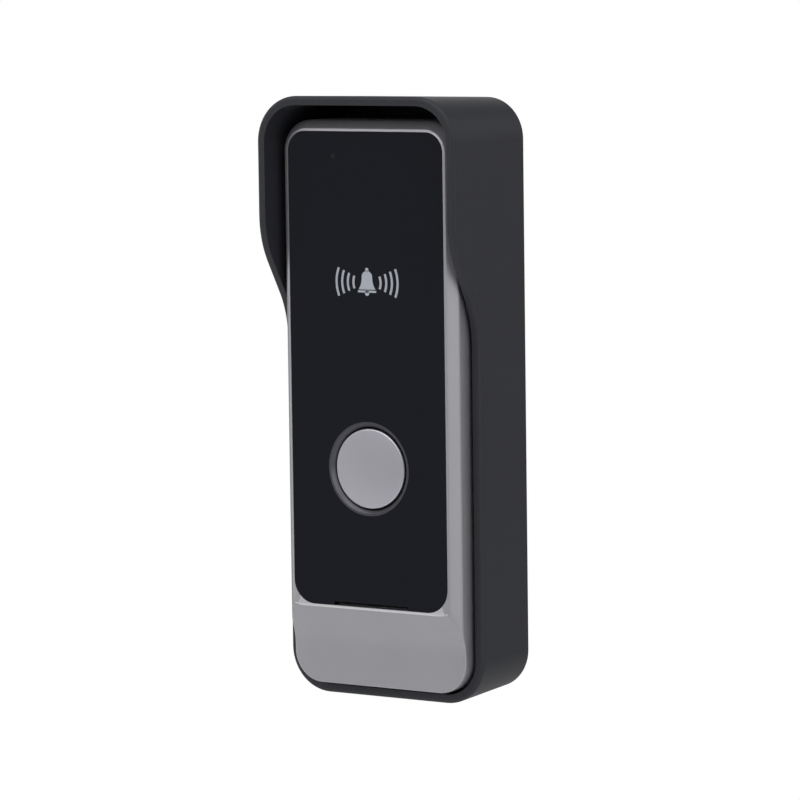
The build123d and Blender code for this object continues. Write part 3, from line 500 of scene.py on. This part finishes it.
def buildBezel(spec):
    _, right, low, high, back, front = boxMillimetres("front_bezel")
    panel = boxMillimetres("front_panel")
    ring, board, boot = (boxMillimetres(name) for name in ("button_ring", "camera_board", "microphone_boot"))
    screws = boxMillimetres("case_screws")
    halfWidth, middle = right, (low + high) / 2
    halfHeight, corner, faceDepth = (high - low) / 2, spec["corner"], panel[5]
    openHalf = panel[1] + spec["panelGap"]
    openLow, openHigh = panel[2] - spec["panelGap"], panel[3] + spec["panelGap"]
    bevelWidth = halfWidth - openHalf - spec["lipWidth"]
    slope = spec["bevelDepth"] / bevelWidth
    rampTop = openLow - spec["lipWidth"]
    toeDepth = faceDepth - spec["toeDrop"]
    rampSlope = (front - toeDepth) / spec["rampHeight"]
    recessFloor = panel[4] - spec["adhesive"]
    innerFront = recessFloor - spec["frontWall"]

    def inset(point):
        x = abs(point.x) - halfWidth + corner
        z = abs(point.y - middle) - halfHeight + corner
        return corner - math.hypot(max(x, 0.0), max(z, 0.0)) - min(max(x, z), 0.0)

    def frontDepth(point):
        reach = max(inset(point), 0.0)
        bevel = front - spec["bevelDepth"] + reach * slope
        ramp = front - (rampTop - point.y) * rampSlope
        lower = softMin(front, softMax(ramp, toeDepth, spec["footBlend"]), spec["creaseBlend"])
        crown = softMax(0.0, spec["crownDrop"] * (1 - reach / spec["crownWidth"]), spec["crownBlend"])
        if point.y > rampTop:  # above the ramp there is only the bevel and the lip
            fade = min((point.y - rampTop) / spec["crownWidth"], 1.0)
            crown *= 1 - fade
            lower += (front - lower) * fade
        depth = softMin(softMin(bevel, lower - crown, spec["sideBlend"]), front, spec["lipBlend"])
        side = max(spec["edgeRadius"] - reach, 0.0)
        return depth - spec["edgeRadius"] + math.sqrt(spec["edgeRadius"] ** 2 - side ** 2)

    points, faces, bright = [], [], []

    def addCap(outer, holes, depthAt, facesFront, ridges=(), extra=()):
        loops = [outer, *holes, *ridges]
        flat, edges = [], []
        for loop in loops:
            start = len(flat)
            flat += loop
            edges += [(start + i, start + (i + 1) % len(loop)) for i in range(len(loop))]
        flat += extra
        made, _, triangles, *_ = delaunay_2d_cdt(flat, edges, [], 0, spec["joinWithin"])
        start = len(points)
        depths = [depthAt(point) for point in made]
        points.extend((point.x, -depth, point.y) for point, depth in zip(made, depths))
        for triangle in triangles:
            a, b, c = (made[i] for i in triangle)
            centre = (a + b + c) / 3
            if abs((b - a).cross(c - a)) < spec["sliver"]:
                continue
            if insideLoop(centre, outer) and not any(insideLoop(centre, hole) for hole in holes):
                face = [start + i for i in triangle]
                faces.append(face if facesFront else face[::-1])
                nearest = min(depths[i] for i in triangle)
                # faces at the front plane get the lip finish, painted brighter as a highlight
                bright.append(facesFront and nearest > front - spec["highlightWithin"])

    def addWall(loop, depthAt, otherDepthAt, outwards):
        # between two depths along one loop; otherDepthAt is the back one
        start, count = len(points), len(loop)
        points.extend((point.x, -depthAt(point), point.y) for point in loop)
        points.extend((point.x, -otherDepthAt(point), point.y) for point in loop)
        for i in range(count):
            j = (i + 1) % count
            face = [start + i, start + count + i, start + count + j, start + j]
            faces.append(face if outwards else face[::-1])
            bright.append(False)

    def at(depth):
        return lambda point: depth

    def outline(reach):
        radius = corner - reach
        return roundedLoop(
            halfWidth - reach, low + reach, high - reach, radius, radius,
            spec["step"], spec["cornerSteps"],
        )

    opening = roundedLoop(
        openHalf, openLow, openHigh, spec["panelCornerTop"] + spec["panelGap"],
        spec["panelCornerBottom"] + spec["panelGap"], spec["step"], spec["cornerSteps"],
    )
    lowerRows = [rampTop + spec["rowStart"] - spec["rowGap"] * i for i in range(spec["rowCount"])]
    lowerRows += [lowerRows[-1] - spec["wideRowGap"] * i for i in range(1, spec["wideRowCount"] + 1)]
    extra = []
    for reach in spec["innerRings"]:
        extra += [point for point in outline(reach) if point.y < rampTop - spec["innerRingStart"]]
    across = int(halfWidth / spec["columnGap"])
    for z in lowerRows:
        extra += [Vector((spec["columnGap"] * i, z)) for i in range(-across, across + 1)]
    rimOfPanel = [point for point in opening if point.y < openLow + spec["rimReach"]]
    extra = [
        point for point in extra
        if inset(point) > spec["rings"][-1] + spec["clearance"]
        and not insideLoop(point, opening)
        and min((point - near).length for near in rimOfPanel) > spec["clearance"]
    ]
    body = outline(0.0)
    addCap(body, [opening], frontDepth, True, [outline(reach) for reach in spec["rings"][1:]], extra)
    addWall(body, frontDepth, at(back), True)
    inner = roundedLoop(
        halfWidth - spec["wall"], low + spec["wall"], high - spec["wall"],
        corner - spec["wall"], corner - spec["wall"], spec["step"], spec["cornerSteps"],
    )
    addCap(body, [inner], at(back), False)
    addWall(inner, at(innerFront), at(back), False)
    steps = spec["circleSteps"]
    slotMiddle = panel[2] + spec["slotHeight"] / 2
    slotHalf, slotTall = spec["slotWidth"] / 2, spec["slotHeight"] / 2
    windowMiddle = (board[2] + board[3]) / 2
    windowTall = spec["windowHeight"] / 2
    holes = [
        circleLoop(0.0, (ring[2] + ring[3]) / 2, spec["boreRadius"], 2 * steps),
        roundedLoop(
            spec["windowWidth"] / 2, windowMiddle - windowTall, windowMiddle + windowTall,
            spec["windowCorner"], spec["windowCorner"], spec["windowStep"], spec["windowCornerSteps"],
        ),
        circleLoop((boot[0] + boot[1]) / 2, (boot[2] + boot[3]) / 2, spec["micRadius"], steps // 2),
        [Vector((x * slotHalf, slotMiddle + z * slotTall)) for x, z in ((-1, -1), (1, -1), (1, 1), (-1, 1))],
    ]
    addWall(opening, frontDepth, at(recessFloor), False)
    addCap(opening, holes, at(recessFloor), True)
    for hole in holes:
        addWall(hole, at(recessFloor), at(innerFront), False)
    head, postBack = spec["screwHead"], innerFront - spec["postLength"]
    postSides, postLevels = (screws[0] + head, screws[1] - head), (screws[2] + head, screws[3] - head)
    posts = [(x, z) for x in postSides for z in postLevels]
    feet = [circleLoop(x, z, spec["postRadius"], steps) for x, z in posts]
    addCap(inner, holes + feet, at(innerFront), False)
    for (x, z), foot in zip(posts, feet):
        bore = circleLoop(x, z, spec["postBore"], steps)
        addWall(foot, at(innerFront), at(postBack), True)
        addCap(foot, [bore], at(postBack), False)
        addWall(bore, at(innerFront - spec["postBoreEnd"]), at(postBack), False)
        addCap(bore, [], at(innerFront - spec["postBoreEnd"]), False)

    mesh = bpy.data.meshes.new("castBody")
    mesh.from_pydata([Vector(point) * millimetre for point in points], [], faces)
    # material 1 is the lip finish, a painted highlight on the faces at the front plane
    for polygon, isBright in zip(mesh.polygons, bright):
        polygon.material_index = int(isBright)
    merged = bmesh.new()
    merged.from_mesh(mesh)
    bmesh.ops.remove_doubles(merged, verts=merged.verts, dist=spec["mergeWithin"])
    print("cast body open edges:", sum(not edge.is_manifold for edge in merged.edges))
    merged.to_mesh(mesh)
    merged.free()
    mesh.shade_smooth()
    mesh.set_sharp_from_angle(angle=math.radians(spec["sharpAngle"]))
    mesh.materials.append(finishOf["die_cast"])
    mesh.materials.append(finishOf["polishedLipHighlight"])
    piece = bpy.data.objects.new("castBody", mesh)
    scene.collection.objects.link(piece)
    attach(piece, "station")
    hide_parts("front_bezel")
    print("cast body:", len(mesh.polygons), "faces")


buildBezel(bezelSpec)

# call button, in millimetres: a domed cap on a stem, turned in one piece
buttonSpec = {
    "capThickness": 1.5,
    "skirt": 2.0,
    "skirtWall": 0.9,
    "edgeRound": 0.35,
    "dome": 0.35,
    "stemRadius": 2.5,
    "grooveDepth": 0.6,
    "grooveWidth": 0.6,
    "tip": 1.05,
    "around": 128,
    "domeSteps": 16,
    "roundSteps": 6,
    "sharpAngle": 40.0,
}


def buildButton(spec):
    left, right, low, high, back, front = boxMillimetres("call_button")
    radius, middle, height = (right - left) / 2, (left + right) / 2, (low + high) / 2
    flat = radius - spec["edgeRound"]
    ball = (flat ** 2 + spec["dome"] ** 2) / (2 * spec["dome"])
    profile = []
    for i in range(1, spec["domeSteps"] + 1):
        r = flat * i / spec["domeSteps"]
        profile.append((r, front - ball + math.sqrt(ball ** 2 - r ** 2)))
    for i in range(1, spec["roundSteps"] + 1):
        angle = math.radians(90.0 * i / spec["roundSteps"])
        lift = spec["edgeRound"] * (1 - math.cos(angle))
        profile.append((flat + spec["edgeRound"] * math.sin(angle), front - spec["dome"] - lift))
    under = front - spec["capThickness"]
    groove = back + spec["tip"]
    stem, neck = spec["stemRadius"], spec["stemRadius"] - spec["grooveDepth"]
    profile += [
        (radius, under - spec["skirt"]),
        (radius - spec["skirtWall"], under - spec["skirt"]),
        (radius - spec["skirtWall"], under),
        (stem, under),
        (stem, groove + spec["grooveWidth"]),
        (neck, groove + spec["grooveWidth"]),
        (neck, groove),
        (stem, groove),
        (stem, back),
    ]
    count = spec["around"]
    points = [(middle, -front, height)]
    for r, depth in profile:
        for i in range(count):
            angle = math.tau * i / count
            points.append((middle + r * math.cos(angle), -depth, height + r * math.sin(angle)))
    points.append((middle, -back, height))
    faces = [(0, 1 + i, 1 + (i + 1) % count) for i in range(count)]
    for ring in range(len(profile) - 1):
        start = 1 + ring * count
        for i in range(count):
            j = (i + 1) % count
            faces.append((start + i, start + count + i, start + count + j, start + j))
    start, end = len(points) - 1 - count, len(points) - 1
    faces += [(start + i, end, start + (i + 1) % count) for i in range(count)]
    mesh = bpy.data.meshes.new("turnedButton")
    mesh.from_pydata([Vector(point) * millimetre for point in points], [], faces)
    mesh.shade_smooth()
    mesh.set_sharp_from_angle(angle=math.radians(spec["sharpAngle"]))
    mesh.materials.append(finishOf["button_metal"])
    piece = bpy.data.objects.new("turnedButton", mesh)
    scene.collection.objects.link(piece)
    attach(piece, "call_button")
    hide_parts("call_button")
    print("call button:", len(mesh.polygons), "faces")


buildButton(buttonSpec)

# silicone diaphragm: a merged, smooth-shaded copy of the frame's diaphragm, held on the station
diaphragmSpec = {
    "mergeWithin": 1e-6,  # in metres
    "sharpAngle": 35.0,
}


def buildDiaphragm(spec):
    node = nodesOfFrame["button_diaphragm"]
    mesh = node.data.copy()
    mesh.transform(node.matrix_world)
    merged = bmesh.new()
    merged.from_mesh(mesh)
    bmesh.ops.remove_doubles(merged, verts=merged.verts, dist=spec["mergeWithin"])
    merged.to_mesh(mesh)
    merged.free()
    mesh.shade_smooth()
    mesh.set_sharp_from_angle(angle=math.radians(spec["sharpAngle"]))
    piece = bpy.data.objects.new("softDiaphragm", mesh)
    scene.collection.objects.link(piece)
    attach(piece, "station")
    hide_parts("button_diaphragm")
    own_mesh(piece)
    print("diaphragm:", len(mesh.polygons), "faces")


buildDiaphragm(diaphragmSpec)

# printed symbol on the panel, in millimetres: a bell with sound waves on both sides
symbolSpec = {
    "across": 0.2,
    "height": 26.0,
    "ink": 0.03,  # thickness of the print
    "sunk": 0.01,
    "crown": (1.15, 1.35),  # height and radius of the bell's round top
    "mouth": (2.15, -1.55),  # half width and height of the bell's mouth
    "flare": 2.2,
    "base": (2.35, 0.45),  # half width and thickness of the bar below
    "baseDrop": 0.2,
    "clapper": (0.55, -2.35),  # radius and height
    "knob": (0.42, 2.75),
    "knobSteps": 24,
    "sideSteps": 12,
    "waves": 4,
    "firstWave": 3.5,
    "waveGap": 1.45,
    "waveSweep": 46.0,
    "waveWidth": 0.55,
    "waveSteps": 18,
}


def plateMesh(name, outlines, back, front):
    # thin closed plates from outlines that run anticlockwise as seen from the front
    points, faces = [], []
    for outline in outlines:
        start, count = len(points), len(outline)
        points += [(x, -front, z) for x, z in outline] + [(x, -back, z) for x, z in outline]
        faces.append([start + i for i in range(count)])
        faces.append([start + count + i for i in reversed(range(count))])
        for i in range(count):
            j = (i + 1) % count
            faces.append((start + i, start + count + i, start + count + j, start + j))
    mesh = bpy.data.meshes.new(name)
    mesh.from_pydata([Vector(point) * millimetre for point in points], [], faces)
    return mesh


def platePiece(name, mesh, finish):
    mesh.materials.clear()
    mesh.materials.append(finishOf[finish])
    piece = bpy.data.objects.new(name, mesh)
    scene.collection.objects.link(piece)
    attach(piece, "station")


def buildBell(spec, front):
    middle, level = spec["across"], spec["height"]
    crownHeight, crownRadius = spec["crown"]
    mouthHalf, mouthHeight = spec["mouth"]
    half = [(mouthHalf, mouthHeight)]
    for i in range(1, spec["sideSteps"]):
        t = i / spec["sideSteps"]
        width = mouthHalf + (crownRadius - mouthHalf) * (1 - (1 - t) ** spec["flare"])
        half.append((width, mouthHeight + (crownHeight - mouthHeight) * t))
    for i in range(spec["sideSteps"] + 1):
        angle = math.radians(90.0 * i / spec["sideSteps"])
        half.append((crownRadius * math.cos(angle), crownHeight + crownRadius * math.sin(angle)))
    bell = half + [(-x, z) for x, z in reversed(half[:-1])]
    baseHalf, baseThick = spec["base"]
    baseTop = mouthHeight - spec["baseDrop"]
    baseUnder = baseTop - baseThick
    base = [(-baseHalf, baseUnder), (baseHalf, baseUnder), (baseHalf, baseTop), (-baseHalf, baseTop)]
    outlines = [bell, base]
    for radius, z in (spec["clapper"], spec["knob"]):
        outlines.append([tuple(point) for point in circleLoop(0.0, z, radius, spec["knobSteps"])])
    placed = [[(x + middle, z + level) for x, z in outline] for outline in outlines]
    mesh = plateMesh("bellPrint", placed, front - spec["sunk"], front + spec["ink"])
    platePiece("bellPrint", mesh, "printSilver")


def waveTree(material):
    # one wave is an arc of radius 1, repeated at growing radii and turned to the other side
    tree = bpy.data.node_groups.new("soundWaves", "GeometryNodeTree")
    kinds = {
        "Waves": "NodeSocketInt", "First Radius": "NodeSocketFloat", "Gap": "NodeSocketFloat",
        "Sweep": "NodeSocketFloat", "Steps": "NodeSocketInt", "Line Width": "NodeSocketFloat",
        "Thickness": "NodeSocketFloat", "Place": "NodeSocketVector",
    }
    tree.interface.new_socket("Geometry", in_out="OUTPUT", socket_type="NodeSocketGeometry")
    sockets = {
        label: tree.interface.new_socket(label, in_out="INPUT", socket_type=kind).identifier
        for label, kind in kinds.items()
    }
    nodes, links = tree.nodes, tree.links
    given, result = nodes.new("NodeGroupInput"), nodes.new("NodeGroupOutput")
    arc = nodes.new("GeometryNodeCurveArc")
    arc.inputs["Radius"].default_value = 1.0
    start = nodes.new("ShaderNodeMath")
    start.operation = "MULTIPLY"
    start.inputs[1].default_value = -0.5
    links.new(given.outputs["Sweep"], start.inputs[0])
    links.new(start.outputs["Value"], arc.inputs["Start Angle"])
    links.new(given.outputs["Sweep"], arc.inputs["Sweep Angle"])
    links.new(given.outputs["Steps"], arc.inputs["Resolution"])
    spots, index = nodes.new("GeometryNodePoints"), nodes.new("GeometryNodeInputIndex")
    grow = nodes.new("ShaderNodeMath")
    grow.operation = "MULTIPLY_ADD"
    links.new(given.outputs["Waves"], spots.inputs["Count"])
    links.new(index.outputs["Index"], grow.inputs[0])
    links.new(given.outputs["Gap"], grow.inputs[1])
    links.new(given.outputs["First Radius"], grow.inputs[2])
    repeat = nodes.new("GeometryNodeInstanceOnPoints")
    curves = nodes.new("GeometryNodeRealizeInstances")
    links.new(spots.outputs["Points"], repeat.inputs["Points"])
    links.new(arc.outputs["Curve"], repeat.inputs["Instance"])
    links.new(grow.outputs["Value"], repeat.inputs["Scale"])
    links.new(repeat.outputs["Instances"], curves.inputs["Geometry"])
    section = nodes.new("GeometryNodeCurvePrimitiveQuadrilateral")
    sweep = nodes.new("GeometryNodeCurveToMesh")
    links.new(given.outputs["Line Width"], section.inputs["Width"])
    links.new(given.outputs["Thickness"], section.inputs["Height"])
    sweep.inputs["Fill Caps"].default_value = True
    links.new(curves.outputs["Geometry"], sweep.inputs["Curve"])
    links.new(section.outputs["Curve"], sweep.inputs["Profile Curve"])
    stand, turn = nodes.new("GeometryNodeTransform"), nodes.new("GeometryNodeTransform")
    both = nodes.new("GeometryNodeJoinGeometry")
    stand.inputs["Rotation"].default_value = (math.pi / 2, 0.0, 0.0)
    turn.inputs["Rotation"].default_value = (0.0, math.pi, 0.0)
    links.new(sweep.outputs["Mesh"], stand.inputs["Geometry"])
    links.new(stand.outputs["Geometry"], turn.inputs["Geometry"])
    links.new(stand.outputs["Geometry"], both.inputs["Geometry"])
    links.new(turn.outputs["Geometry"], both.inputs["Geometry"])
    settle = nodes.new("GeometryNodeTransform")
    links.new(both.outputs["Geometry"], settle.inputs["Geometry"])
    links.new(given.outputs["Place"], settle.inputs["Translation"])
    real, paint = nodes.new("GeometryNodeRealizeInstances"), nodes.new("GeometryNodeSetMaterial")
    paint.inputs["Material"].default_value = material
    links.new(settle.outputs["Geometry"], real.inputs["Geometry"])
    links.new(real.outputs["Geometry"], paint.inputs["Geometry"])
    links.new(paint.outputs["Geometry"], result.inputs["Geometry"])
    return tree, sockets


def buildWaves(spec, front):
    tree, sockets = waveTree(finishOf["printSilver"])
    depth = front + (spec["ink"] - spec["sunk"]) / 2
    values = {
        "Waves": spec["waves"],
        "First Radius": spec["firstWave"] * millimetre,
        "Gap": spec["waveGap"] * millimetre,
        "Sweep": math.radians(spec["waveSweep"]),
        "Steps": spec["waveSteps"],
        "Line Width": spec["waveWidth"] * millimetre,
        "Thickness": (spec["ink"] + spec["sunk"]) * millimetre,
        "Place": Vector((spec["across"], -depth, spec["height"])) * millimetre,
    }
    holder = bpy.data.objects.new("waveHolder", bpy.data.meshes.new("waveHolder"))
    scene.collection.objects.link(holder)
    modifier = holder.modifiers.new("soundWaves", "NODES")
    modifier.node_group = tree
    for label, value in values.items():
        modifier[sockets[label]] = value
    evaluated = holder.evaluated_get(bpy.context.evaluated_depsgraph_get())
    mesh = bpy.data.meshes.new_from_object(evaluated)
    holder.modifiers.remove(modifier)
    bpy.data.objects.remove(holder)
    mesh.name = "wavePrint"
    platePiece("wavePrint", mesh, "printSilver")
    print("sound waves:", len(mesh.polygons), "faces")


panelFront = boxMillimetres("front_panel")[5]
buildBell(symbolSpec, panelFront)
buildWaves(symbolSpec, panelFront)

# woven membrane that fills the microphone's hole, in millimetres
membraneSpec = {"radius": 0.68, "recess": 0.06, "thickness": 0.15, "around": 32}


def buildMembrane(spec, front):
    left, right, low, high, *_ = boxMillimetres("microphone_boot")
    outline = circleLoop((left + right) / 2, (low + high) / 2, spec["radius"], spec["around"])
    face = front - spec["recess"]
    mesh = plateMesh("micMembrane", [[tuple(point) for point in outline]], face - spec["thickness"], face)
    platePiece("micMembrane", mesh, "micMembrane")


buildMembrane(membraneSpec, panelFront)
